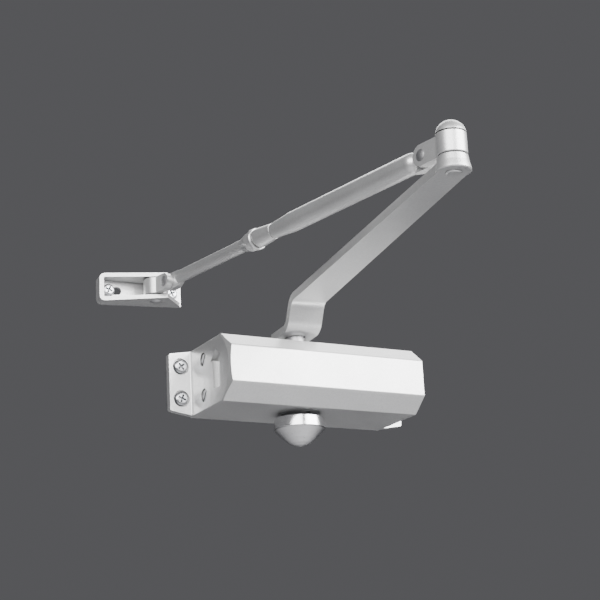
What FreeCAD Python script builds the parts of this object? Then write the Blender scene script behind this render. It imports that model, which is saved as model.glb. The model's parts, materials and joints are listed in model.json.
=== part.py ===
import FreeCAD, Part
import math
import os

# Surface-mounted rack-and-pinion door closer with a folding arm. Millimetres, +Z up.
# Origin: middle of the four door screws, on the back face of the body. The body lies along X,
# its front faces -Y, the door lies against its back at y = 0.

# Body casting
BODY_LENGTH = 126.6
BODY_HEIGHT = 39.0
BODY_DEPTH = 55.0
FRONT_FACE_HEIGHT = 21.3
FRONT_CHAMFER_RUN = 11.1
END_EDGE_ROUND = 0.6
END_BEVEL_RADIUS = 22.3
END_BEVEL_CENTRE_Y = -31.0
END_BEVEL_SLOPE = 0.4
LONG_EDGE_ROUND = 1.6
LUG_LENGTH = 13.95
LUG_THICKNESS = 4.0
LUG_END_HEIGHT = 33.4
LUG_CORNER_ROUND = 1.3
LUG_ROOT_ROUND = 1.3
DOOR_SCREW_SPACING_X = 140.0
DOOR_SCREW_SPACING_Z = 19.0
COUNTERBORE_RADIUS = 5.0
COUNTERBORE_DEPTH = 1.3
DOOR_SCREW_HOLE_RADIUS = 2.75
ARROW_CENTRE_Y = -37.4
ARROW_DEPTH = 3.4

# Hydraulic cylinder
AXIS_X = -5.2
AXIS_Y = -25.0
BORE_RADIUS = 13.5
BORE_BLIND_X = -50.75
STATIC_GAP = 0.05
PLUG_INNER_X = 53.5
PLUG_OUTER_X = 62.7
VALVE_Y = -20.0
CLOSING_VALVE_Z = 10.2
LATCHING_VALVE_Z = -10.8
VALVE_POCKET_RADIUS = 3.9
VALVE_POCKET_DEPTH = 9.6
VALVE_RECESS = 0.7
VALVE_SLOT_ANGLE = 37.0
VALVE_ORIFICE_RADIUS = 1.3

# Pinion, rack and piston
GEAR_MODULE = 1.4
PINION_TEETH = 10
PRESSURE_ANGLE = 25.0
BACKLASH = 0.12
ADDENDUM = 1.2
DEDENDUM = 1.6
PITCH_RADIUS = GEAR_MODULE * PINION_TEETH / 2
GEAR_HALF_HEIGHT = 12.0
RACK_HALF_HEIGHT = 11.0
ARM_TRAVEL = 170.0
PISTON_TRAVEL = PITCH_RADIUS * math.radians(ARM_TRAVEL)
PISTON_RADIUS = BORE_RADIUS - 0.05
PISTON_HEAD = 12.0
JOURNAL_RADIUS = 6.5
RUNNING_GAP = 0.05
BEARING_BORE_RADIUS = 10.0
BEARING_INNER_Z = 13.6
BEARING_OUTER_Z = 17.2
NUT_OUTER_Z = 20.9
NUT_COLLAR_RADIUS = 11.3
SQUARE_END = 9.0

# Pinion cap
CAP_RADIUS = 15.1
CAP_TOP_Z = -22.0
CAP_BAND_Z = -29.1
CAP_TIP_Z = -38.6

# Main arm: a flat strip, cranked up just outside the body
ARM_ANGLE = -96.0
ARM_LENGTH = 210.0
ARM_THICKNESS = 4.6
ARM_PINION_RADIUS = 10.6
ARM_ELBOW_RADIUS = 7.9
ARM_FLAT_Z = 26.5
ARM_FOOT = 15.0
ARM_FOOT_CORNER = 5.0
CRANK_START = 14.0
CRANK_END = 22.3
CRANK_TOP_Z = 42.1
CRANK_BEND_RADIUS = 5.9
ARM_ELBOW_Z = 52.4
BOSS_BASE_RADIUS = 9.0
BOSS_TOP_RADIUS = 7.7
BOSS_TOP_Z = 60.5

# Elbow joint
KNUCKLE_RADIUS = 7.7
KNUCKLE_BASE_Z = 60.9
KNUCKLE_TOP_Z = 72.2
ELBOW_PIN_RADIUS = 4.0
CAP_BASE_Z = 72.6
DOME_HEIGHT = 6.6

# Forearm: tube, lock nut and rod on one level axis
FOREARM_ANGLE = 99.3
FOREARM_Z = (KNUCKLE_BASE_Z + KNUCKLE_TOP_Z) / 2
ELBOW_RIVET_REACH = 18.0
RIVET_SPACING = 233.5
SHOE_RIVET_REACH = 14.3
TUBE_RADIUS = 5.6
TUBE_WAIST_RADIUS = 4.35
TUBE_MOUTH_RADIUS = 5.5
TUBE_TAPER_START = 128.0
TUBE_WAIST = 144.5
TUBE_END = 160.1
TUBE_SHOULDER = 29.5
ROD_RADIUS = 3.7
ROD_INNER_END = 108.0
TUBE_BORE_START = 72.0
LOCK_NUT_LENGTH = 12.8
ROD_SHOULDER = 238.4
ELBOW_TONGUE_RADIUS = 5.6
ELBOW_TONGUE_THICKNESS = 4.6
SHOE_TONGUE_RADIUS = 4.9
SHOE_TONGUE_THICKNESS = 4.0
LAP_GAP = 0.1
RIVET_RADIUS = 2.5
RIVET_HEAD_RADIUS = 3.1
RIVET_HEAD_HEIGHT = 0.7

# Frame shoe
SHOE_ANGLE = -7.0
SHOE_LEFT = -33.8
SHOE_RIGHT = 18.6
SHOE_FRONT = -6.4
SHOE_FRONT_SLOPE = -0.3
SHOE_BACK = 12.5
SHOE_LEFT_HALF_HEIGHT = 8.6
SHOE_RIGHT_HALF_HEIGHT = 7.6
SHOE_WALL = 2.4
SHOE_CORNER_ROUND = 3.0
SHOE_PIN_RADIUS = 2.6
SHOE_KNUCKLE_RADIUS = 7.4
SHOE_KNUCKLE_HALF_HEIGHT = 5.1
SHOE_SCREW_X = (-26.9, 12.4)
SHOE_SLOT_TRAVEL = 5.7
SHOE_SLOT_RADIUS = 2.5

SCREW_STUD_LENGTH = 14.0
SCREW_NECK_TAPER = 0.1
ZERO = FreeCAD.Vector(0, 0, 0)
X_AXIS = FreeCAD.Vector(1, 0, 0)
Y_AXIS = FreeCAD.Vector(0, 1, 0)
Z_AXIS = FreeCAD.Vector(0, 0, 1)

def box(low, high):
    """Rectangular block between two opposite corners."""
    size = [b - a for a, b in zip(low, high)]
    return Part.makeBox(*size, FreeCAD.Vector(*low))


def cylinder(radius, low, high):
    """Upright cylinder on the Z axis between two heights."""
    return Part.makeCylinder(radius, high - low, FreeCAD.Vector(0, 0, low))


def turned(profile):
    """Solid of revolution about Z from (radius, height) corners."""
    points = [FreeCAD.Vector(radius, 0, height) for radius, height in profile]
    return Part.Face(Part.makePolygon(points + points[:1])).revolve(ZERO, Z_AXIS, 360)


def ring(inner, outer, low, high):
    return turned([(inner, low), (outer, low), (outer, high), (inner, high)])


def prism_z(points, low, high):
    """Straight extrusion along Z of an outline in the XY plane."""
    corners = [FreeCAD.Vector(x, y, low) for x, y in points]
    face = Part.Face(Part.makePolygon(corners + corners[:1]))
    return face.extrude(FreeCAD.Vector(0, 0, high - low))


def prism_x(points, low, high):
    """Straight extrusion along X of an outline given as (y, z) corners."""
    corners = [FreeCAD.Vector(low, y, z) for y, z in points]
    face = Part.Face(Part.makePolygon(corners + corners[:1]))
    return face.extrude(FreeCAD.Vector(high - low, 0, 0))


def prism_y(points, low, high):
    """Straight extrusion along Y of an outline given as (x, z) corners."""
    corners = [FreeCAD.Vector(x, low, z) for x, z in points]
    face = Part.Face(Part.makePolygon(corners + corners[:1]))
    return face.extrude(FreeCAD.Vector(0, high - low, 0))


def hexagon(corner_radius):
    """Corners of a regular hexagon in the XY plane."""
    angles = [math.radians(60 * i) for i in range(6)]
    return [(corner_radius * math.cos(angle), corner_radius * math.sin(angle)) for angle in angles]


def dome(radius, height):
    """Spherical cap standing on z = 0."""
    sphere_radius = (radius * radius + height * height) / (2 * height)
    sphere = Part.makeSphere(sphere_radius, FreeCAD.Vector(0, 0, height - sphere_radius))
    return sphere.common(cylinder(radius, 0, height + 1))


def turn(shape, axis, angle):
    result = shape.copy()
    result.rotate(ZERO, axis, angle)
    return result


def move(shape, x, y, z):
    result = shape.copy()
    result.translate(FreeCAD.Vector(x, y, z))
    return result


def place(shape, x, y, z, yaw):
    return move(turn(shape, Z_AXIS, yaw), x, y, z)


def face_forward(shape):
    """Turn a shape built along Z so that its +Z end points to -Y."""
    return turn(shape, X_AXIS, 90)


def along_x(shape):
    """Turn a shape built along Z so that its +Z end points to +X."""
    return turn(shape, Y_AXIS, 90)


def flip(shape):
    """Mirror a shape top to bottom."""
    return shape.mirror(ZERO, Z_AXIS)


def edges_through(shape, points):
    """Edges of the shape that pass within a hair of any of the points."""
    vertices = [Part.Vertex(FreeCAD.Vector(*point)) for point in points]
    return [edge for edge in shape.Edges if any(edge.distToShape(v)[0] < 1e-4 for v in vertices)]


def cross_recess(head_top, reach, width, depth):
    """Cross-shaped driver recess cut down from the top of a screw head."""
    half = width / 2
    blade = turned([(0, head_top + 1), (reach, head_top + 1), (reach * 0.8, head_top - depth * 0.7),
                    (0, head_top - depth)])
    cross = box((-reach, -half, -9), (reach, half, 9)).fuse(box((-half, -reach, -9), (half, reach, 9)))
    return blade.common(cross)


def pan_screw(head_radius, head_height, shank_radius, grip):
    """Pan-head screw with its seat at z = 0; the shank tapers a hair through the part it holds."""
    head = cylinder(head_radius, 0, head_height)
    head = head.makeFillet(head_height * 0.7, edges_through(head, [(head_radius, 0, head_height)]))
    neck = shank_radius + SCREW_NECK_TAPER
    end = -grip - SCREW_STUD_LENGTH
    tip = shank_radius * 0.8
    shank = turned([(0, end), (shank_radius - tip / 2, end), (shank_radius, end + tip), (shank_radius, -grip),
                    (neck, 0.2), (0, 0.2)])
    recess = cross_recess(head_height, head_radius * 0.64, head_radius * 0.27, head_height * 0.95)
    return head.fuse(shank).cut(recess).removeSplitter()


def rivet(shank_radius, low, high, head_radius, head_height):
    """Rivet on the Z axis with a low dome at each end of its grip."""
    upper = move(dome(head_radius, head_height), 0, 0, high)
    lower = move(flip(dome(head_radius, head_height)), 0, 0, low)
    return cylinder(shank_radius, low, high).fuse([upper, lower]).removeSplitter()


def o_ring(centre_radius, section_radius, x, y, z):
    """O-ring whose axis lies along X."""
    return Part.makeTorus(centre_radius, section_radius, FreeCAD.Vector(x, y, z), X_AXIS)


def door_screw_places():
    x = DOOR_SCREW_SPACING_X / 2
    z = DOOR_SCREW_SPACING_Z / 2
    return [(-x, -z), (-x, z), (x, -z), (x, z)]


# Body casting ------------------------------------------------------------------------------

def half_octagon():
    """Section of the body: a rectangle whose two front corners are cut away."""
    top = BODY_HEIGHT / 2
    front_top = FRONT_FACE_HEIGHT / 2
    shoulder = -BODY_DEPTH + FRONT_CHAMFER_RUN
    return [(0, top), (shoulder, top), (-BODY_DEPTH, front_top),
            (-BODY_DEPTH, -front_top), (shoulder, -top), (0, -top)]


def body_block():
    half = BODY_LENGTH / 2
    outline = half_octagon()
    block = prism_x(outline, -half, half)
    long_edges = edges_through(block, [(0, y, z) for y, z in outline[1:5]])
    block = block.makeFillet(LONG_EDGE_ROUND, long_edges)
    middles = [((y0 + y1) / 2, (z0 + z1) / 2) for (y0, z0), (y1, z1) in zip(outline[:5], outline[1:])]
    rims = [(side * half, y, z) for side in (-1, 1) for y, z in middles]
    block = block.makeChamfer(END_EDGE_ROUND, edges_through(block, rims))
    return block.cut(turned_bevel())


def turned_bevel():
    """What a shallow turned bevel takes off the front corners of the left end."""
    left = -BODY_LENGTH / 2
    depth = 4.0
    cone = turned([(0, left - 1), (END_BEVEL_RADIUS - 1 / END_BEVEL_SLOPE, left - 1),
                   (END_BEVEL_RADIUS + depth / END_BEVEL_SLOPE, left + depth), (0, left + depth)])
    front = box((left - 1, -BODY_DEPTH - 1, -BODY_HEIGHT), (left + depth, END_BEVEL_CENTRE_Y, BODY_HEIGHT))
    return front.cut(move(along_x(cone), 0, END_BEVEL_CENTRE_Y, 0))


def lug(side):
    """Screw lug at one end; its root runs into the block so that the two fuse."""
    root = BODY_LENGTH / 2 - 3
    tip = BODY_LENGTH / 2 + LUG_LENGTH
    top = BODY_HEIGHT / 2
    end_top = LUG_END_HEIGHT / 2
    outline = [(side * root, top), (side * tip, end_top), (side * tip, -end_top), (side * root, -top)]
    plate = prism_y(outline, -LUG_THICKNESS, 0)
    corners = [(side * tip, -LUG_THICKNESS / 2, z) for z in (-end_top, end_top)]
    return plate.makeFillet(LUG_CORNER_ROUND, edges_through(plate, corners))


def up_arrow():
    """Arrow recess in the left end face."""
    left = -BODY_LENGTH / 2
    head = [(7.8, 6.2), (0.0, 12.2), (-7.8, 6.2), (-4.2, 6.2), (-4.2, -10.2), (4.2, -10.2), (4.2, 6.2)]
    outline = [(ARROW_CENTRE_Y + y, z) for y, z in head]
    return prism_x(outline, left - 1, left + ARROW_DEPTH)


def body_casting():
    left = -BODY_LENGTH / 2
    body = body_block().fuse([lug(-1), lug(1)]).removeSplitter()
    roots = [(side * BODY_LENGTH / 2, -LUG_THICKNESS, 0) for side in (-1, 1)]
    body = body.makeFillet(LUG_ROOT_ROUND, edges_through(body, roots))
    bore = move(along_x(cylinder(BORE_RADIUS, BORE_BLIND_X, BODY_LENGTH)), 0, AXIS_Y, 0)
    shaft_hole = move(cylinder(BEARING_BORE_RADIUS, -BODY_HEIGHT, BODY_HEIGHT), AXIS_X, AXIS_Y, 0)
    cuts = [bore, shaft_hole, up_arrow()]
    pocket_end = left + VALVE_POCKET_DEPTH
    for z in (CLOSING_VALVE_Z, LATCHING_VALVE_Z):
        pocket = cylinder(VALVE_POCKET_RADIUS, left - 1, pocket_end)
        orifice = cylinder(VALVE_ORIFICE_RADIUS, pocket_end - 1, BORE_BLIND_X + 1)
        cuts.append(move(along_x(pocket.fuse(orifice)), 0, VALVE_Y, z))
    for x, z in door_screw_places():
        cuts.append(move(face_forward(cylinder(DOOR_SCREW_HOLE_RADIUS, -1, LUG_THICKNESS + 1)), x, 0, z))
        seat = LUG_THICKNESS - COUNTERBORE_DEPTH
        cuts.append(move(face_forward(cylinder(COUNTERBORE_RADIUS, seat, seat + 6)), x, 0, z))
    return body.cut(cuts)


# Hydraulic parts ---------------------------------------------------------------------------

def end_plug():
    """Threaded plug that closes the spring end, with an O-ring groove and a hexagon socket."""
    radius = BORE_RADIUS - STATIC_GAP
    plug = turned([(0, PLUG_INNER_X), (radius - 0.8, PLUG_INNER_X), (radius, PLUG_INNER_X + 0.8),
                   (radius, PLUG_INNER_X + 2), (radius - 2.1, PLUG_INNER_X + 2),
                   (radius - 2.1, PLUG_INNER_X + 4.4), (radius, PLUG_INNER_X + 4.4),
                   (radius, PLUG_OUTER_X), (0, PLUG_OUTER_X)])
    socket = prism_z(hexagon(5.8), PLUG_OUTER_X - 5, PLUG_OUTER_X + 1)
    return move(along_x(plug.cut(socket)), 0, AXIS_Y, 0)


def end_plug_o_ring():
    return o_ring(BORE_RADIUS - 1.15, 0.95, PLUG_INNER_X + 3.2, AXIS_Y, 0)


def bearing():
    """Plain bearing ring for one pinion journal."""
    outer = BEARING_BORE_RADIUS - STATIC_GAP
    return ring(JOURNAL_RADIUS + RUNNING_GAP, outer, BEARING_INNER_Z, BEARING_OUTER_Z)


def bearing_nut():
    """Threaded ring with a collar outside the body and a groove inside for the shaft seal."""
    low = BEARING_OUTER_Z + 0.1
    face = BODY_HEIGHT / 2 + 0.05
    thread = BEARING_BORE_RADIUS - STATIC_GAP
    inner = JOURNAL_RADIUS + 0.3
    groove_end = NUT_OUTER_Z - 0.6
    nut = turned([(inner, low), (thread, low), (thread, face), (NUT_COLLAR_RADIUS + 0.7, face),
                  (NUT_COLLAR_RADIUS, NUT_OUTER_Z - 0.5), (NUT_COLLAR_RADIUS - 0.5, NUT_OUTER_Z),
                  (inner, NUT_OUTER_Z), (inner, groove_end), (8.4, groove_end), (8.4, 18.3), (inner, 18.3)])
    notch = box((NUT_COLLAR_RADIUS - 1.3, -1.2, face + 0.5), (NUT_COLLAR_RADIUS + 1, 1.2, 30))
    return nut.cut([turn(notch, Z_AXIS, 90 * i) for i in range(4)])


def shaft_seal():
    return ring(JOURNAL_RADIUS + RUNNING_GAP, 8.35, 18.4, NUT_OUTER_Z - 0.7)


def at_pinion(shape):
    return move(shape, AXIS_X, AXIS_Y, 0)


def involute_angle(radius):
    """Angle swept by the involute of the pinion from its base circle out to a radius."""
    base = PITCH_RADIUS * math.cos(math.radians(PRESSURE_ANGLE))
    roll = math.sqrt(max(radius * radius / (base * base) - 1, 0))
    return roll - math.atan(roll)


def gear_outline():
    """Closed outline of the pinion's teeth, one tooth pointing to -Y."""
    base = PITCH_RADIUS * math.cos(math.radians(PRESSURE_ANGLE))
    tip = PITCH_RADIUS + ADDENDUM
    root = PITCH_RADIUS - DEDENDUM
    tooth_width = math.pi * GEAR_MODULE / 2 - BACKLASH
    half_angle = tooth_width / 2 / PITCH_RADIUS + involute_angle(PITCH_RADIUS)
    steps = 5
    radii = [base + (tip - base) * i / steps for i in range(steps + 1)]
    flank = [(root, half_angle)] + [(radius, half_angle - involute_angle(radius)) for radius in radii]
    outline = []
    for tooth in range(PINION_TEETH):
        middle = -math.pi / 2 + 2 * math.pi * tooth / PINION_TEETH
        outline += [(radius, middle - angle) for radius, angle in flank]
        outline += [(radius, middle + angle) for radius, angle in reversed(flank)]
    return [(radius * math.cos(angle), radius * math.sin(angle)) for radius, angle in outline]


def pinion():
    """Steel shaft with the gear in the middle, a journal at each side and square ends."""
    gear = prism_z(gear_outline(), -GEAR_HALF_HEIGHT, GEAR_HALF_HEIGHT)
    shoulder = GEAR_HALF_HEIGHT + 0.6
    neck = turned([(0, -21.9), (6.1, -21.9), (6.1, -21.3), (JOURNAL_RADIUS, -21.1),
                   (JOURNAL_RADIUS, -shoulder), (5.4, -shoulder), (5.4, shoulder), (JOURNAL_RADIUS, shoulder),
                   (JOURNAL_RADIUS, 21.5), (6.1, 21.7), (6.1, ARM_FLAT_Z - 0.1), (0, ARM_FLAT_Z - 0.1)])
    half = SQUARE_END / 2
    top = ARM_FLAT_Z + ARM_THICKNESS - 0.3
    upper = box((-half, -half, ARM_FLAT_Z - 0.2), (half, half, top)).common(cylinder(5.9, 0, 40))
    lower = box((-half, -half, -33.0), (half, half, -22.2)).common(cylinder(5.9, -40, 0))
    squares = turn(upper.fuse(lower), Z_AXIS, ARM_ANGLE)
    tapped = cylinder(2.6, top - 12, top + 1)
    return gear.fuse([neck, squares]).cut(tapped).removeSplitter()


def rack_teeth():
    """Rack along the front wall of the piston's slot, in mesh with the pinion at rest."""
    pitch = math.pi * GEAR_MODULE
    slope = math.tan(math.radians(PRESSURE_ANGLE))
    half_width = pitch / 4 - BACKLASH / 2
    pitch_line = AXIS_Y - PITCH_RADIUS
    tip = half_width - ADDENDUM * slope
    root = half_width + DEDENDUM * slope
    teeth = []
    for i in range(-7, 2):
        x = AXIS_X + (i + 0.5) * pitch
        outline = [(x - root, pitch_line - DEDENDUM - 0.2), (x - root, pitch_line - DEDENDUM),
                   (x - tip, pitch_line + ADDENDUM), (x + tip, pitch_line + ADDENDUM),
                   (x + root, pitch_line - DEDENDUM), (x + root, pitch_line - DEDENDUM - 0.2)]
        teeth.append(prism_z(outline, -RACK_HALF_HEIGHT, RACK_HALF_HEIGHT))
    return teeth


def slot_ends():
    """Where the piston's slot starts and stops along X, at rest."""
    clear = PITCH_RADIUS + ADDENDUM + 1.5
    return AXIS_X - PISTON_TRAVEL - clear, AXIS_X + clear


def piston():
    slot_low, slot_high = slot_ends()
    left = slot_low - PISTON_HEAD + 1
    right = slot_high + PISTON_HEAD
    profile = [(0, left), (PISTON_RADIUS - 0.8, left), (PISTON_RADIUS, left + 0.8),
               (PISTON_RADIUS, right - 0.8), (PISTON_RADIUS - 0.8, right), (0, right)]
    block = move(along_x(turned(profile)), 0, AXIS_Y, 0)
    slot_front = AXIS_Y - PITCH_RADIUS - DEDENDUM - 0.1
    slot = box((slot_low, slot_front, -20), (slot_high, AXIS_Y + 9.0, 20))
    spring_seat = move(along_x(cylinder(11.0, slot_high + 4, right + 1)), 0, AXIS_Y, 0)
    passage = move(along_x(cylinder(1.6, left - 1, slot_low)), 0, AXIS_Y, 0)
    pocket = move(along_x(cylinder(3.0, slot_low - 6.5, slot_low + 1)), 0, AXIS_Y, 0)
    teeth = [tooth.common(block) for tooth in rack_teeth()]
    return block.cut([slot, spring_seat, passage, pocket]).fuse(teeth).removeSplitter()


def check_ball():
    return Part.makeSphere(2.4, FreeCAD.Vector(slot_ends()[0] - 3.9, AXIS_Y, 0))


def check_ball_retainer():
    low = slot_ends()[0]
    return move(along_x(ring(1.5, 2.95, low - 1.3, low - 0.1)), 0, AXIS_Y, 0)


def return_spring():
    """Coil spring between the piston's seat and the end plug."""
    wire = 1.6
    coils = 7
    low = slot_ends()[1] + 4 + wire + 0.1
    high = PLUG_INNER_X - wire - 0.1
    mean_radius = 9.0
    helix = Part.makeHelix((high - low) / coils, high - low, mean_radius)
    section = Part.Wire(Part.makeCircle(wire, FreeCAD.Vector(mean_radius, 0, 0), Y_AXIS))
    coil = Part.Wire(helix).makePipeShell([section], True, True)
    return move(along_x(move(coil, 0, 0, low)), 0, AXIS_Y, 0)


def speed_valve(z):
    """Slotted adjusting screw with an O-ring groove and a needle that enters the orifice."""
    start = -BODY_LENGTH / 2 + VALVE_RECESS
    head = VALVE_POCKET_RADIUS - 0.15
    groove = head - 1.5
    end = -BODY_LENGTH / 2 + VALVE_POCKET_DEPTH
    needle = VALVE_ORIFICE_RADIUS - 0.3
    screw = turned([(0, start), (head - 0.5, start), (head, start + 0.5), (head, start + 3.0),
                    (groove, start + 3.0), (groove, start + 5.0), (head, start + 5.0), (head, end - 1.0),
                    (needle, end - 1.0), (0.3, end + 1.5), (0, end + 1.5)])
    slot = box((-5, -0.6, start - 1), (5, 0.6, start + 1.4))
    return move(along_x(screw.cut(turn(slot, Z_AXIS, VALVE_SLOT_ANGLE))), 0, VALVE_Y, z)


def valve_o_ring(z):
    return o_ring(VALVE_POCKET_RADIUS - 0.8, 0.65, -BODY_LENGTH / 2 + VALVE_RECESS + 4.0, VALVE_Y, z)


def pinion_cap():
    """Push-on cap for the spare lower end of the pinion: a band, then a cone with a round tip."""
    blend = 0.75
    band = turned([(0, CAP_TOP_Z), (CAP_RADIUS - 1.0, CAP_TOP_Z), (CAP_RADIUS - 0.5, CAP_TOP_Z - 0.6),
                   (CAP_RADIUS, CAP_BAND_Z + 0.7), (CAP_RADIUS - 0.4, CAP_BAND_Z),
                   (9.6, CAP_BAND_Z - 5.0), (6.4, CAP_TIP_Z + 2.0), (3.6, CAP_TIP_Z + blend), (0, CAP_TIP_Z)])
    tip_rims = [(radius, 0, z) for radius, z in ((9.6, CAP_BAND_Z - 5.0), (6.4, CAP_TIP_Z + 2.0),
                                                  (3.6, CAP_TIP_Z + blend))]
    band = band.makeFillet(1.5, edges_through(band, tip_rims))
    half = SQUARE_END / 2 + STATIC_GAP
    socket = box((-half, -half, -33.3), (half, half, 0)).common(cylinder(5.95, -40, 0))
    hollow = ring(6.9, CAP_RADIUS - 2.0, CAP_BAND_Z, CAP_TOP_Z + 1)
    return band.cut([socket, hollow])


def door_screws():
    screw = pan_screw(4.1, 2.4, 2.5, LUG_THICKNESS - COUNTERBORE_DEPTH)
    seat = -(LUG_THICKNESS - COUNTERBORE_DEPTH)
    return Part.makeCompound([move(turn(face_forward(screw), Y_AXIS, 20 + 30 * i), x, seat, z)
                              for i, (x, z) in enumerate(door_screw_places())])


# Main arm ----------------------------------------------------------------------------------

def arm_plan():
    """The arm seen from above: a square foot with round corners, sides that taper, a round end."""
    lean = (ARM_PINION_RADIUS - ARM_ELBOW_RADIUS) / ARM_LENGTH
    foot_half = ARM_PINION_RADIUS + ARM_FOOT * lean
    side = [(-ARM_FOOT, foot_half), (ARM_LENGTH, ARM_ELBOW_RADIUS)]
    outline = side + [(x, -y) for x, y in reversed(side)]
    plan = prism_z(outline, 0, 90)
    corners = [(-ARM_FOOT, sign * foot_half, 45) for sign in (-1, 1)]
    plan = plan.makeFillet(ARM_FOOT_CORNER, edges_through(plan, corners))
    return plan.fuse(move(cylinder(ARM_ELBOW_RADIUS, 0, 90), ARM_LENGTH, 0, 0))


def offset_corner(before, corner, after, distance):
    """Corner of a path moved to the left of it by a distance, with a mitre."""
    first = math.atan2(corner[1] - before[1], corner[0] - before[0])
    second = math.atan2(after[1] - corner[1], after[0] - corner[0])
    middle = (first + second) / 2 + math.pi / 2
    reach = distance / math.cos((second - first) / 2)
    return corner[0] + reach * math.cos(middle), corner[1] + reach * math.sin(middle)


def cranked_strip():
    """Side view of the arm as a thick line: flat end, steep crank, gently rising bar."""
    slope = (ARM_ELBOW_Z - CRANK_TOP_Z) / (ARM_LENGTH - CRANK_END)
    far = ARM_LENGTH + 20
    under = [(-20, ARM_FLAT_Z), (CRANK_START, ARM_FLAT_Z), (CRANK_END, CRANK_TOP_Z),
             (far, CRANK_TOP_Z + slope * (far - CRANK_END))]
    over = [(-20, ARM_FLAT_Z + ARM_THICKNESS),
            offset_corner(under[0], under[1], under[2], ARM_THICKNESS),
            offset_corner(under[1], under[2], under[3], ARM_THICKNESS),
            (far, under[3][1] + ARM_THICKNESS)]
    strip = prism_y(under + over[::-1], -15, 15)
    inner = [(over[1][0], 0, over[1][1]), (under[2][0], 0, under[2][1])]
    outer = [(under[1][0], 0, under[1][1]), (over[2][0], 0, over[2][1])]
    strip = strip.makeFillet(CRANK_BEND_RADIUS, edges_through(strip, inner))
    return strip.makeFillet(CRANK_BEND_RADIUS + ARM_THICKNESS, edges_through(strip, outer))


def main_arm():
    bar = cranked_strip().common(arm_plan())
    edge = 0.5
    boss = turned([(0, ARM_ELBOW_Z), (BOSS_BASE_RADIUS - edge, ARM_ELBOW_Z),
                   (BOSS_BASE_RADIUS, ARM_ELBOW_Z + edge), (BOSS_BASE_RADIUS - 0.2, ARM_ELBOW_Z + 1.6),
                   (BOSS_TOP_RADIUS + 0.45, ARM_ELBOW_Z + ARM_THICKNESS),
                   (BOSS_TOP_RADIUS, BOSS_TOP_Z - edge), (BOSS_TOP_RADIUS - edge, BOSS_TOP_Z),
                   (0, BOSS_TOP_Z)])
    arm = bar.fuse(move(boss, ARM_LENGTH, 0, 0)).removeSplitter()
    half = SQUARE_END / 2 + STATIC_GAP
    socket = box((-half, -half, 0), (half, half, 40)).common(cylinder(5.95, 0, 40))
    pin_hole = move(cylinder(ELBOW_PIN_RADIUS + 0.02, 0, 90), ARM_LENGTH, 0, 0)
    return arm.cut([socket, pin_hole])


def at_arm(shape):
    return place(shape, AXIS_X, AXIS_Y, 0, ARM_ANGLE)


def arm_washer():
    top = ARM_FLAT_Z + ARM_THICKNESS
    return ring(3.2, 7.5, top + 0.02, top + 1.5)


def arm_screw():
    """Hexagon screw that holds the arm on the pinion's square."""
    seat = ARM_FLAT_Z + ARM_THICKNESS + 1.55
    corner = 5.77
    top = seat + 4.0
    head = prism_z(hexagon(corner), seat, top)
    crown = turned([(0, seat), (corner, seat), (corner, top - 0.5), (corner - 0.8, top), (0, top)])
    shank = cylinder(2.55, seat - 12, seat + 0.5)
    return head.common(crown).fuse(shank).removeSplitter()


# Elbow -------------------------------------------------------------------------------------

def elbow_position():
    angle = math.radians(ARM_ANGLE)
    return AXIS_X + ARM_LENGTH * math.cos(angle), AXIS_Y + ARM_LENGTH * math.sin(angle)


def at_elbow(shape):
    """Place a shape whose +X runs along the forearm and whose Z axis is the elbow axis."""
    x, y = elbow_position()
    return place(shape, x, y, 0, FOREARM_ANGLE)


def elbow_pin():
    """Pin riveted over a shallow head under the arm; it carries the knuckle above."""
    return turned([(0, ARM_ELBOW_Z - 0.9), (3.2, ARM_ELBOW_Z - 0.9), (ELBOW_PIN_RADIUS, ARM_ELBOW_Z - 0.4),
                   (ELBOW_PIN_RADIUS, CAP_BASE_Z + 2.0), (0, CAP_BASE_Z + 2.0)])


def elbow_cap():
    """Domed head pressed on the top of the pin, with a centre dimple."""
    cap = move(dome(KNUCKLE_RADIUS, DOME_HEIGHT), 0, 0, CAP_BASE_Z)
    socket = cylinder(ELBOW_PIN_RADIUS + 0.02, CAP_BASE_Z - 1, CAP_BASE_Z + 2.1)
    top = CAP_BASE_Z + DOME_HEIGHT
    dimple = turned([(0, top - 0.7), (1.1, top + 0.3), (0, top + 0.3)])
    return cap.cut([socket, dimple])


def elbow_washer(low, high):
    return ring(ELBOW_PIN_RADIUS + RUNNING_GAP, KNUCKLE_RADIUS - 0.9, low, high)


def half_lap(radius, root, rivet, side, thickness):
    """Flat plate on one side of the forearm's middle plane, round about the rivet."""
    low, high = sorted((side * LAP_GAP / 2, side * thickness))
    start, end = sorted((root, rivet))
    round_end = move(face_forward(cylinder(radius, -high, -low)), rivet, 0, 0)
    return box((start, low, -radius), (end, high, radius)).fuse(round_end)


def lap_taper(root, yaw, radius):
    """Cone that trims a half-lap so that it grows smoothly out of a round bar of this radius."""
    length = 40
    end = radius + 0.4 * length
    cone = turned([(0, 0), (radius, 0), (end, length), (0, length)])
    return place(along_x(cone), root, 0, 0, yaw)


def rivet_hole(reach):
    return move(face_forward(cylinder(RIVET_RADIUS + RUNNING_GAP, -20, 20)), reach, 0, 0)


def cross_rivet(thickness, reach):
    """Rivet through two half-laps, its axis level and square to the forearm."""
    grip = thickness + 0.08
    return move(face_forward(rivet(RIVET_RADIUS, -grip, grip, RIVET_HEAD_RADIUS, RIVET_HEAD_HEIGHT)),
                reach, 0, FOREARM_Z)


def barrel(radius, half_height):
    """Short upright cylinder with broken edges, centred on z = 0."""
    edge = 0.4
    return turned([(0, -half_height), (radius - edge, -half_height), (radius, -half_height + edge),
                   (radius, half_height - edge), (radius - edge, half_height), (0, half_height)])


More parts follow.
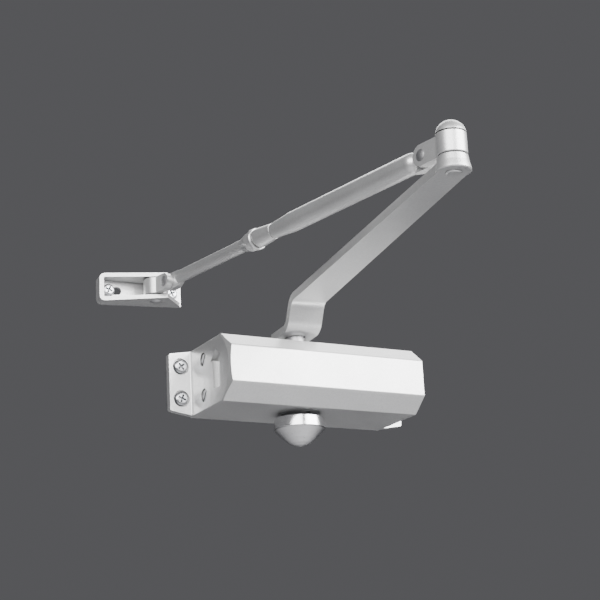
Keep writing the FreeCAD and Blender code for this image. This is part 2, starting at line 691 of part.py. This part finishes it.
def elbow_knuckle():
    """Barrel that turns on the elbow pin, with a flat tongue for the forearm tube."""
    half = (KNUCKLE_TOP_Z - KNUCKLE_BASE_Z) / 2
    tongue = half_lap(ELBOW_TONGUE_RADIUS, 0, ELBOW_RIVET_REACH, 1, ELBOW_TONGUE_THICKNESS)
    knuckle = barrel(KNUCKLE_RADIUS, half).fuse(tongue).removeSplitter()
    bore = cylinder(ELBOW_PIN_RADIUS + RUNNING_GAP, -20, 20)
    return move(knuckle.cut([bore, rivet_hole(ELBOW_RIVET_REACH)]), 0, 0, FOREARM_Z)


# Forearm: built along +X from the elbow axis, at z = 0, then lifted -------------------------

def round_ended(profile, radius, end):
    """Turned bar along X whose last corner, at the given radius and end, is rounded almost to a ball."""
    bar = turned(profile)
    return along_x(bar.makeFillet(radius * 0.95, edges_through(bar, [(radius, 0, end)])))


def forearm_tube():
    """Tube with a half-lap at the elbow and a waist and a flared mouth at the nut."""
    start = TUBE_SHOULDER - TUBE_RADIUS
    groove = TUBE_MOUTH_RADIUS - 0.7
    mouth = TUBE_END - 1.2
    tube = round_ended([(0, start), (TUBE_RADIUS, start), (TUBE_RADIUS, TUBE_TAPER_START),
                        (TUBE_WAIST_RADIUS, TUBE_WAIST), (TUBE_WAIST_RADIUS - 0.35, TUBE_WAIST + 0.1),
                        (TUBE_WAIST_RADIUS - 0.35, TUBE_WAIST + 0.8),
                        (TUBE_WAIST_RADIUS + 0.1, TUBE_WAIST + 0.9),
                        (TUBE_MOUTH_RADIUS, mouth - 1.5), (TUBE_MOUTH_RADIUS, mouth),
                        (groove, mouth + 0.2), (groove, TUBE_END), (0, TUBE_END)], TUBE_RADIUS, start)
    lap = half_lap(ELBOW_TONGUE_RADIUS, TUBE_SHOULDER, ELBOW_RIVET_REACH, -1, ELBOW_TONGUE_THICKNESS)
    lap = lap.common(lap_taper(TUBE_SHOULDER, 180, TUBE_RADIUS))
    bore = along_x(cylinder(ROD_RADIUS + RUNNING_GAP, TUBE_BORE_START, TUBE_END + 1))
    solid = tube.fuse(lap).removeSplitter()
    return move(solid.cut([bore, rivet_hole(ELBOW_RIVET_REACH)]), 0, 0, FOREARM_Z)


def lock_nut():
    """Flanged nut with a tapered hexagon that locks the rod against the end of the tube."""
    start = TUBE_END + 0.2
    end = start + LOCK_NUT_LENGTH
    flange_end = start + 2.4
    body = turned([(0, start), (5.8, start), (6.3, start + 0.6), (6.3, flange_end), (6.1, start + 5.0),
                   (5.0, start + 8.6), (4.1, end), (0, end)])
    grip = prism_z(hexagon(6.3), flange_end, end + 1).fuse(cylinder(7, start - 1, flange_end))
    bore = cylinder(ROD_RADIUS + RUNNING_GAP, start - 1, end + 1)
    return move(along_x(body.common(grip).cut(bore)), 0, 0, FOREARM_Z)


def shoe_rivet_reach():
    return ELBOW_RIVET_REACH + RIVET_SPACING


def shoe_pin_reach():
    return shoe_rivet_reach() + SHOE_RIVET_REACH


def forearm_rod():
    """Rod that slides in the tube; its outer end is flattened to a half-lap."""
    end = ROD_SHOULDER + ROD_RADIUS
    rod = round_ended([(0, ROD_INNER_END), (ROD_RADIUS - 0.8, ROD_INNER_END),
                       (ROD_RADIUS, ROD_INNER_END + 0.8), (ROD_RADIUS, end), (0, end)], ROD_RADIUS, end)
    lap = half_lap(SHOE_TONGUE_RADIUS, ROD_SHOULDER, shoe_rivet_reach(), -1, SHOE_TONGUE_THICKNESS)
    lap = lap.common(lap_taper(ROD_SHOULDER, 0, ROD_RADIUS))
    solid = rod.fuse(lap).removeSplitter()
    return move(solid.cut(rivet_hole(shoe_rivet_reach())), 0, 0, FOREARM_Z)


def shoe_knuckle():
    """Barrel between the shoe's flanges, with a flat tongue for the forearm rod."""
    reach = shoe_pin_reach()
    tongue = half_lap(SHOE_TONGUE_RADIUS, reach, shoe_rivet_reach(), 1, SHOE_TONGUE_THICKNESS)
    body = move(barrel(SHOE_KNUCKLE_RADIUS, SHOE_KNUCKLE_HALF_HEIGHT), reach, 0, 0)
    bore = move(cylinder(SHOE_PIN_RADIUS + RUNNING_GAP, -20, 20), reach, 0, 0)
    solid = body.fuse(tongue).removeSplitter()
    return move(solid.cut([bore, rivet_hole(shoe_rivet_reach())]), 0, 0, FOREARM_Z)


# Frame shoe: built about its pin, +X along the shoe, the frame of the door at +Y -------------

def at_shoe(shape):
    x, y = elbow_position()
    angle = math.radians(FOREARM_ANGLE)
    reach = shoe_pin_reach()
    return place(shape, x + reach * math.cos(angle), y + reach * math.sin(angle), FOREARM_Z, SHOE_ANGLE)


def shoe_front(x):
    """The flanges' front edge: further out at the right than at the left."""
    return SHOE_FRONT + SHOE_FRONT_SLOPE * x


def shoe_half_height(x):
    run = (x - SHOE_LEFT) / (SHOE_RIGHT - SHOE_LEFT)
    return SHOE_LEFT_HALF_HEIGHT + (SHOE_RIGHT_HALF_HEIGHT - SHOE_LEFT_HALF_HEIGHT) * run


def rounded_tray(left, right, wall, corner_radius, front, back):
    """Block that narrows to the right, with round left corners; wall is how far it is drawn in."""
    low = shoe_half_height(left) - wall
    high = shoe_half_height(right) - wall
    block = prism_y([(left, -low), (right, -high), (right, high), (left, low)], front, back)
    corners = [(left, (front + back) / 2, z) for z in (-low, low)]
    return block.makeFillet(corner_radius, edges_through(block, corners))


def shoe_screw_hole(x):
    """Round cutter through the web at one screw."""
    return move(face_forward(cylinder(SHOE_SLOT_RADIUS, -20, 0)), x, 0, 0)


def shoe_slot():
    """Slot that lets the left end of the shoe shift along its screw."""
    start = SHOE_SCREW_X[0]
    end = start + SHOE_SLOT_TRAVEL
    middle = box((start, 0, -SHOE_SLOT_RADIUS), (end, 20, SHOE_SLOT_RADIUS))
    return middle.fuse([shoe_screw_hole(start), shoe_screw_hole(end)])


def shoe_bracket():
    """Channel with a web at the back, two wedge-shaped flanges and a closed left end."""
    outer = rounded_tray(SHOE_LEFT, SHOE_RIGHT, 0, SHOE_CORNER_ROUND, -20, SHOE_BACK)
    inner_face = SHOE_BACK - SHOE_WALL
    pocket = rounded_tray(SHOE_LEFT + SHOE_WALL, SHOE_RIGHT + 20, SHOE_WALL, SHOE_CORNER_ROUND - SHOE_WALL,
                          -25, inner_face)
    far = 60
    front_line = [(-far, shoe_front(-far)), (far, shoe_front(far))]
    front_cut = prism_z(front_line + [(far, -far), (-far, -far)], -20, 20)
    shoulder = SHOE_RIGHT - 13.5
    corner_cut = prism_z([(shoulder, shoe_front(shoulder)), (shoulder, -far), (SHOE_RIGHT + 1, -far),
                          (SHOE_RIGHT + 1, inner_face), (SHOE_RIGHT - 0.5, inner_face)], -20, 20)
    pin_hole = cylinder(SHOE_PIN_RADIUS + 0.02, -20, 20)
    cuts = [pocket, front_cut, corner_cut, pin_hole, shoe_slot(), shoe_screw_hole(SHOE_SCREW_X[1])]
    return outer.cut(cuts).removeSplitter()


def shoe_pin():
    end = shoe_half_height(0) + 0.1
    return rivet(SHOE_PIN_RADIUS, -end, end, 3.7, 1.2)


def shoe_pin_washers():
    low = SHOE_KNUCKLE_HALF_HEIGHT + 0.05
    radius = SHOE_KNUCKLE_RADIUS - 0.3
    high = shoe_half_height(radius) - SHOE_WALL - 0.03
    washer = ring(SHOE_PIN_RADIUS + RUNNING_GAP, radius, low, high)
    return Part.makeCompound([washer, flip(washer)])


def shoe_screws():
    screw = pan_screw(3.8, 2.3, 2.1, SHOE_WALL + 0.02)
    seat = SHOE_BACK - SHOE_WALL - 0.02
    return Part.makeCompound([move(turn(face_forward(screw), Y_AXIS, 25 + 40 * i), x, seat, 0)
                              for i, x in enumerate(SHOE_SCREW_X)])


def all_parts():
    """Every sub-part by name, in place."""
    return {
        "body_casting": body_casting(),
        "end_plug": end_plug(),
        "end_plug_o_ring": end_plug_o_ring(),
        "upper_bearing": at_pinion(bearing()),
        "lower_bearing": at_pinion(flip(bearing())),
        "upper_bearing_nut": at_pinion(bearing_nut()),
        "lower_bearing_nut": at_pinion(flip(bearing_nut())),
        "upper_shaft_seal": at_pinion(shaft_seal()),
        "lower_shaft_seal": at_pinion(flip(shaft_seal())),
        "pinion": at_pinion(pinion()),
        "piston": piston(),
        "check_ball": check_ball(),
        "check_ball_retainer": check_ball_retainer(),
        "return_spring": return_spring(),
        "closing_speed_valve": speed_valve(CLOSING_VALVE_Z),
        "latching_speed_valve": speed_valve(LATCHING_VALVE_Z),
        "closing_valve_o_ring": valve_o_ring(CLOSING_VALVE_Z),
        "latching_valve_o_ring": valve_o_ring(LATCHING_VALVE_Z),
        "pinion_cap": at_arm(pinion_cap()),
        "door_screws": door_screws(),
        "main_arm": at_arm(main_arm()),
        "arm_washer": at_pinion(arm_washer()),
        "arm_screw": at_arm(arm_screw()),
        "elbow_pin": at_elbow(elbow_pin()),
        "elbow_cap": at_elbow(elbow_cap()),
        "elbow_lower_washer": at_elbow(elbow_washer(BOSS_TOP_Z + 0.03, KNUCKLE_BASE_Z - 0.03)),
        "elbow_upper_washer": at_elbow(elbow_washer(KNUCKLE_TOP_Z + 0.03, CAP_BASE_Z - 0.03)),
        "elbow_knuckle": at_elbow(elbow_knuckle()),
        "elbow_rivet": at_elbow(cross_rivet(ELBOW_TONGUE_THICKNESS, ELBOW_RIVET_REACH)),
        "forearm_tube": at_elbow(forearm_tube()),
        "lock_nut": at_elbow(lock_nut()),
        "forearm_rod": at_elbow(forearm_rod()),
        "shoe_rivet": at_elbow(cross_rivet(SHOE_TONGUE_THICKNESS, shoe_rivet_reach())),
        "shoe_knuckle": at_elbow(shoe_knuckle()),
        "shoe_bracket": at_shoe(shoe_bracket()),
        "shoe_pin": at_shoe(shoe_pin()),
        "shoe_pin_washers": at_shoe(shoe_pin_washers()),
        "shoe_screws": at_shoe(shoe_screws()),
    }


def main():
    os.makedirs("parts", exist_ok=True)
    for name, shape in all_parts().items():
        shape.exportStep("parts/" + name + ".step")


main()
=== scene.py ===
import json
import math

import bmesh
import bpy
from mathutils import Matrix, Vector

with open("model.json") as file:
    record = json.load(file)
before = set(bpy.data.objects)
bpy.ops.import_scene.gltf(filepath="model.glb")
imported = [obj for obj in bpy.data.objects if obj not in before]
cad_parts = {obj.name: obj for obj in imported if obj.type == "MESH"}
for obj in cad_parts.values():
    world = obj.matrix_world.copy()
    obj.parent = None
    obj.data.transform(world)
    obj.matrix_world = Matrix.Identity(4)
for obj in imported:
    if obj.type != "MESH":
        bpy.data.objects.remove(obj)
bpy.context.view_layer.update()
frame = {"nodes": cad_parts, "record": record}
nodes = frame["nodes"]

# Camera, in metres and degrees, lens and sensor in millimetres.
# It looks up at the closer from the left, the front and below.
AIM = Vector((-0.0083, -0.0389, 0.0458))
CAMERA_DISTANCE = 0.9928
VIEW_AZIMUTH = -28.8
VIEW_ELEVATION = -16.7
CAMERA_ROLL = 2.9
LENS_MM = 102.0
SENSOR_MM = 36.0

# Studio, in metres. The floor lies well below the camera, which looks up past the part.
FLOOR_Z = -0.95
FLOOR_RADIUS = 12.0
FLOOR_SEGMENTS = 96
FLOOR_COLOUR = (0.55, 0.55, 0.56)
FLOOR_ROUGHNESS = 0.7
WORLD_COLOUR = (0.098, 0.098, 0.104, 1.0)
WORLD_STRENGTH = 1.0

# Lights: name, direction from the aim point, distance, width and height in metres, power in watts.
SOFTBOXES = (
    ("right_key", (0.50, -0.80, 0.34), 1.2, 1.3, 0.7, 42.0),
    ("left_key", (-0.64, -0.77, 0.30), 1.2, 1.1, 0.7, 20.0),
    ("top_box", (0.42, 0.42, 0.80), 0.9, 0.9, 0.7, 7.0),
)

MM = 0.001

# Silver paint. The sizes are in millimetres; a brighter colour along the edges, in patches, is a
# painted highlight.
PATCH_MM = 26.0
MOTTLE_MM = 1.3
FLAKE_MM = 0.3
PEEL_MM = 1.4
GRAIN_MM = 0.45
HIGHLIGHT_PATCH_MM = 3.0
HIGHLIGHT_EDGE_MM = 0.5
PAINT_METALLIC = 0.78
# Colour of the painted highlight along the edges.
EDGE_HIGHLIGHT_COLOUR = (0.92, 0.92, 0.93)

# Shader settings shared by the materials.
NOISE_ROUGHNESS = 0.55
RAY_SAMPLES = 4

# Dot product of the bevelled and the true normal, and openness, at both ends of their masks.
FLAT_DOT = 0.985
EDGE_DOT = 0.86
OPEN_OCCLUSION = 0.85
TIGHT_OCCLUSION = 0.35

# The Mix node's colour sockets share their names with its other sockets, so they go by number.
MIX_FIRST_COLOUR = 6
MIX_SECOND_COLOUR = 7
MIX_COLOUR_RESULT = 2

# Stretch of a texture along x, y and z.
NO_STRETCH = (1.0, 1.0, 1.0)
LINES_ALONG_X = (12.0, 1.0, 1.0)
LINES_ALONG_Z = (1.0, 1.0, 12.0)


# Node helpers --------------------------------------------------------------------------------

class Shader:
    """One material being built: a Principled shader and the nodes that feed it."""

    def __init__(self, name, colour, metallic, roughness):
        self.material = bpy.data.materials.new(name)
        self.material.use_nodes = True
        self.tree = self.material.node_tree
        self.principled = self.tree.nodes["Principled BSDF"]
        self.set("Base Color", (*colour, 1.0))
        self.set("Metallic", metallic)
        self.set("Roughness", roughness)
        self.coordinates = self.tree.nodes.new("ShaderNodeTexCoord").outputs["Object"]

    def set(self, socket, value):
        self.principled.inputs[socket].default_value = value

    def link(self, source, target):
        self.tree.links.new(source, target)

    def add(self, kind, **values):
        node = self.tree.nodes.new("ShaderNode" + kind)
        for key, value in values.items():
            setattr(node, key, value)
        return node

    def feed(self, source, socket):
        """Drive one of the Principled shader's inputs."""
        self.link(source, self.principled.inputs[socket])

    def texture(self, kind, size_mm, stretch=NO_STRETCH):
        """Texture node with features about size_mm across; stretch lengthens them along an axis."""
        mapping = self.add("Mapping")
        mapping.inputs["Scale"].default_value = [1.0 / (size_mm * MM * factor) for factor in stretch]
        self.link(self.coordinates, mapping.inputs["Vector"])
        texture = self.add(kind)
        texture.inputs["Scale"].default_value = 1.0
        self.link(mapping.outputs["Vector"], texture.inputs["Vector"])
        return texture

    def noise(self, size_mm, detail=3.0, stretch=NO_STRETCH):
        texture = self.texture("TexNoise", size_mm, stretch)
        texture.inputs["Detail"].default_value = detail
        texture.inputs["Roughness"].default_value = NOISE_ROUGHNESS
        return texture.outputs["Fac"]

    def cells(self, size_mm):
        """Random grey per small cell, as metal flakes give."""
        texture = self.texture("TexVoronoi", size_mm)
        grey = self.add("RGBToBW")
        self.link(texture.outputs["Color"], grey.inputs["Color"])
        return grey.outputs["Val"]

    def remap(self, value, low, high, to_low, to_high):
        node = self.add("MapRange", clamp=True)
        node.inputs["From Min"].default_value = low
        node.inputs["From Max"].default_value = high
        node.inputs["To Min"].default_value = to_low
        node.inputs["To Max"].default_value = to_high
        self.link(value, node.inputs["Value"])
        return node.outputs["Result"]

    def maths(self, operation, first, second):
        node = self.add("Math", operation=operation)
        for socket, value in zip(node.inputs, (first, second)):
            if isinstance(value, (int, float)):
                socket.default_value = value
            else:
                self.link(value, socket)
        return node.outputs["Value"]

    def mix(self, factor, first, second):
        """Colour mix; either colour may be a socket or an (r, g, b) tuple."""
        node = self.add("Mix", data_type="RGBA")
        self.link(factor, node.inputs["Factor"])
        for index, value in ((MIX_FIRST_COLOUR, first), (MIX_SECOND_COLOUR, second)):
            if isinstance(value, tuple):
                node.inputs[index].default_value = (*value, 1.0)
            else:
                self.link(value, node.inputs[index])
        return node.outputs[MIX_COLOUR_RESULT]

    def edges(self, radius_mm):
        """About 1 within radius_mm of a sharp edge and 0 on flats."""
        bevel = self.add("Bevel", samples=RAY_SAMPLES)
        bevel.inputs["Radius"].default_value = radius_mm * MM
        geometry = self.add("NewGeometry")
        dot = self.add("VectorMath", operation="DOT_PRODUCT")
        self.link(bevel.outputs["Normal"], dot.inputs[0])
        self.link(geometry.outputs["Normal"], dot.inputs[1])
        return self.remap(dot.outputs["Value"], FLAT_DOT, EDGE_DOT, 0.0, 1.0)

    def crevices(self, reach_mm):
        """About 1 in tight corners and recesses and 0 on open faces."""
        occlusion = self.add("AmbientOcclusion", samples=RAY_SAMPLES)
        occlusion.inputs["Distance"].default_value = reach_mm * MM
        return self.remap(occlusion.outputs["AO"], TIGHT_OCCLUSION, OPEN_OCCLUSION, 1.0, 0.0)

    def with_crevice_shade(self, base, reach_mm, amount, shade_colour):
        """Base colour with a darker colour mixed into its crevices: painted shade."""
        # Painted shade: the occlusion mask darkens corners and recesses.
        return self.mix(self.maths("MULTIPLY", self.crevices(reach_mm), amount), base, shade_colour)

    def bump(self, layers):
        """Chain of bumps from (height socket, depth in mm, strength) layers."""
        previous = None
        for height, depth_mm, strength in layers:
            node = self.add("Bump")
            node.inputs["Strength"].default_value = strength
            node.inputs["Distance"].default_value = depth_mm * MM
            self.link(height, node.inputs["Height"])
            if previous is not None:
                self.link(previous, node.inputs["Normal"])
            previous = node.outputs["Normal"]
        self.feed(previous, "Normal")


# Materials -----------------------------------------------------------------------------------

def shade(colour, factor):
    """Colour made darker or lighter by a factor."""
    return tuple(min(1.0, factor * channel) for channel in colour)


def silver_paint(name, colour, roughness):
    """Satin aluminium paint on cast metal: flakes, orange peel, painted shade in corners and a painted
    highlight along edges.
    """
    s = Shader(name, colour, PAINT_METALLIC, roughness)
    patches = s.noise(PATCH_MM)
    mottle = s.noise(MOTTLE_MM)
    flakes = s.cells(FLAKE_MM)
    peel = s.noise(PEEL_MM)
    grain = s.noise(GRAIN_MM, 2.0)
    # Painted highlight: a brighter colour along edges, in noise patches; these edges are also a little
    # glossier.
    highlight_patches = s.remap(s.noise(HIGHLIGHT_PATCH_MM, 4.0), 0.42, 0.6, 0.1, 0.8)
    highlight_edges = s.maths("MULTIPLY", s.edges(HIGHLIGHT_EDGE_MM), highlight_patches)
    base = s.mix(s.remap(patches, 0.3, 0.7, 0.0, 1.0), shade(colour, 0.94), shade(colour, 1.03))
    base = s.mix(s.remap(mottle, 0.35, 0.65, 0.0, 0.5), base, shade(colour, 0.86))
    base = s.mix(s.remap(flakes, 0.1, 0.9, 0.0, 0.34), base, shade(colour, 0.68))
    # Painted shade: a much darker colour mixed into corners and recesses.
    base = s.with_crevice_shade(base, 2.0, 0.55, shade(colour, 0.22))
    # The painted edge highlight is mixed in over the base colour.
    s.feed(s.mix(highlight_edges, base, EDGE_HIGHLIGHT_COLOUR), "Base Color")
    drift = s.remap(patches, 0.3, 0.7, -0.03, 0.03)
    rough = s.maths("ADD", drift, s.remap(flakes, 0.0, 1.0, roughness - 0.06, roughness + 0.06))
    s.feed(s.maths("SUBTRACT", rough, s.maths("MULTIPLY", highlight_edges, 0.1)), "Roughness")
    s.bump([(peel, 0.07, 0.28), (grain, 0.03, 0.3), (flakes, 0.006, 0.25)])
    s.set("Coat Weight", 0.15)
    s.set("Coat Roughness", 0.25)
    return s.material


def plated(name, colour, roughness):
    """Bright plating or ground steel: fine haze, uneven gloss and painted shade in corners."""
    s = Shader(name, colour, 1.0, roughness)
    haze = s.noise(1.8, 4.0)
    fine = s.noise(0.5, 2.0)
    base = s.mix(s.remap(haze, 0.35, 0.7, 0.0, 1.0), colour, shade(colour, 0.93))
    # Painted shade: a darker colour mixed into corners and recesses.
    s.feed(s.with_crevice_shade(base, 1.2, 0.5, shade(colour, 0.2)), "Base Color")
    s.feed(s.remap(haze, 0.3, 0.7, roughness - 0.04, roughness + 0.08), "Roughness")
    s.bump([(haze, 0.02, 0.2), (fine, 0.006, 0.2)])
    return s.material


def machined_steel(name, colour, roughness, stretch=NO_STRETCH):
    """Machined metal: fine lines (even grain without a stretch), slight colour drift, painted shade in
    corners.
    """
    s = Shader(name, colour, 1.0, roughness)
    drift = s.noise(5.0, 4.0)
    lines = s.noise(0.12, stretch=stretch)
    base = s.mix(s.remap(drift, 0.35, 0.65, 0.0, 1.0), colour, shade(colour, 0.8))
    # Painted shade: a near-black colour mixed into corners and recesses.
    s.feed(s.with_crevice_shade(base, 1.2, 0.9, shade(colour, 0.06)), "Base Color")
    s.feed(s.remap(lines, 0.3, 0.7, roughness - 0.08, roughness + 0.1), "Roughness")
    s.bump([(lines, 0.01, 0.4), (drift, 0.02, 0.1)])
    return s.material


def soft_part(name, colour, roughness, grain_mm):
    """Rubber or nylon: matt, slightly mottled, with a fine moulded grain."""
    s = Shader(name, colour, 0.0, roughness)
    mottle = s.noise(2.5)
    s.feed(s.mix(mottle, colour, shade(colour, 1.6)), "Base Color")
    s.feed(s.remap(mottle, 0.3, 0.7, roughness - 0.06, roughness + 0.06), "Roughness")
    s.bump([(s.noise(grain_mm, 2.0), 0.02, 0.35)])
    return s.material


def make_materials():
    return {
        "silver_paint": silver_paint("satin_silver_paint", (0.82, 0.82, 0.82), 0.40),
        "cap_chrome": plated("bright_plating", (0.80, 0.80, 0.81), 0.2),
        "machined_steel": machined_steel("machined_steel", (0.60, 0.60, 0.61), 0.45, LINES_ALONG_Z),
        "bearing_bronze": machined_steel("sintered_bronze", (0.55, 0.38, 0.2), 0.5),
        "polished_steel": plated("ground_steel", (0.7, 0.7, 0.71), 0.1),
        "screw_steel": machined_steel("zinc_plated_steel", (0.68, 0.69, 0.71), 0.27),
        "spring_steel": machined_steel("oiled_spring_steel", (0.2, 0.2, 0.22), 0.35),
        "valve_steel": machined_steel("turned_steel", (0.50, 0.50, 0.51), 0.34, LINES_ALONG_X),
        "seal_rubber": soft_part("nitrile_rubber", (0.02, 0.02, 0.021), 0.6, 0.3),
        "washer_nylon": soft_part("black_nylon", (0.035, 0.035, 0.037), 0.45, 0.25),
    }


def dress_nodes(materials):
    """Give every CAD node the finish of its material slot."""
    for entry in frame["record"]["subparts"]:
        mesh = nodes[entry["node"]].data
        mesh.materials.clear()
        mesh.materials.append(materials[entry["material_slot"]])


# Studio --------------------------------------------------------------------------------------

def make_floor():
    mesh = bpy.data.meshes.new("floor")
    build = bmesh.new()
    bmesh.ops.create_circle(build, cap_ends=True, segments=FLOOR_SEGMENTS, radius=FLOOR_RADIUS)
    build.to_mesh(mesh)
    build.free()
    floor = bpy.data.objects.new("floor", mesh)
    bpy.context.collection.objects.link(floor)
    floor.location = (0.0, 0.0, FLOOR_Z)
    mesh.materials.append(Shader("pale_floor", FLOOR_COLOUR, 0.0, FLOOR_ROUGHNESS).material)


def make_world():
    world = bpy.data.worlds.new("studio")
    bpy.context.scene.world = world
    world.use_nodes = True
    background = world.node_tree.nodes["Background"]
    background.inputs["Color"].default_value = WORLD_COLOUR
    background.inputs["Strength"].default_value = WORLD_STRENGTH


def softbox(name, direction, distance, width, height, power):
    """Rectangular area light that faces the aim point from a direction."""
    light = bpy.data.lights.new(name, "AREA")
    light.shape = "RECTANGLE"
    light.size = width
    light.size_y = height
    light.energy = power
    lamp = bpy.data.objects.new(name, light)
    bpy.context.collection.objects.link(lamp)
    away = Vector(direction).normalized()
    lamp.location = AIM + away * distance
    lamp.rotation_euler = away.to_track_quat("Z", "Y").to_euler()
    lamp.visible_camera = False


def make_lights():
    for settings in SOFTBOXES:
        softbox(*settings)


def make_camera():
    camera = bpy.data.cameras.new("camera")
    camera.lens = LENS_MM
    camera.sensor_width = SENSOR_MM
    eye = bpy.data.objects.new("camera", camera)
    bpy.context.collection.objects.link(eye)
    azimuth = math.radians(VIEW_AZIMUTH)
    elevation = math.radians(VIEW_ELEVATION)
    back = Vector((math.sin(azimuth) * math.cos(elevation), -math.cos(azimuth) * math.cos(elevation),
                   math.sin(elevation)))
    eye.location = AIM + back * CAMERA_DISTANCE
    level = (-back).to_track_quat("-Z", "Y").to_matrix()
    eye.rotation_euler = (level @ Matrix.Rotation(math.radians(-CAMERA_ROLL), 3, "Z")).to_euler()
    bpy.context.scene.camera = eye


dress_nodes(make_materials())
make_floor()
make_world()
make_lights()
make_camera()
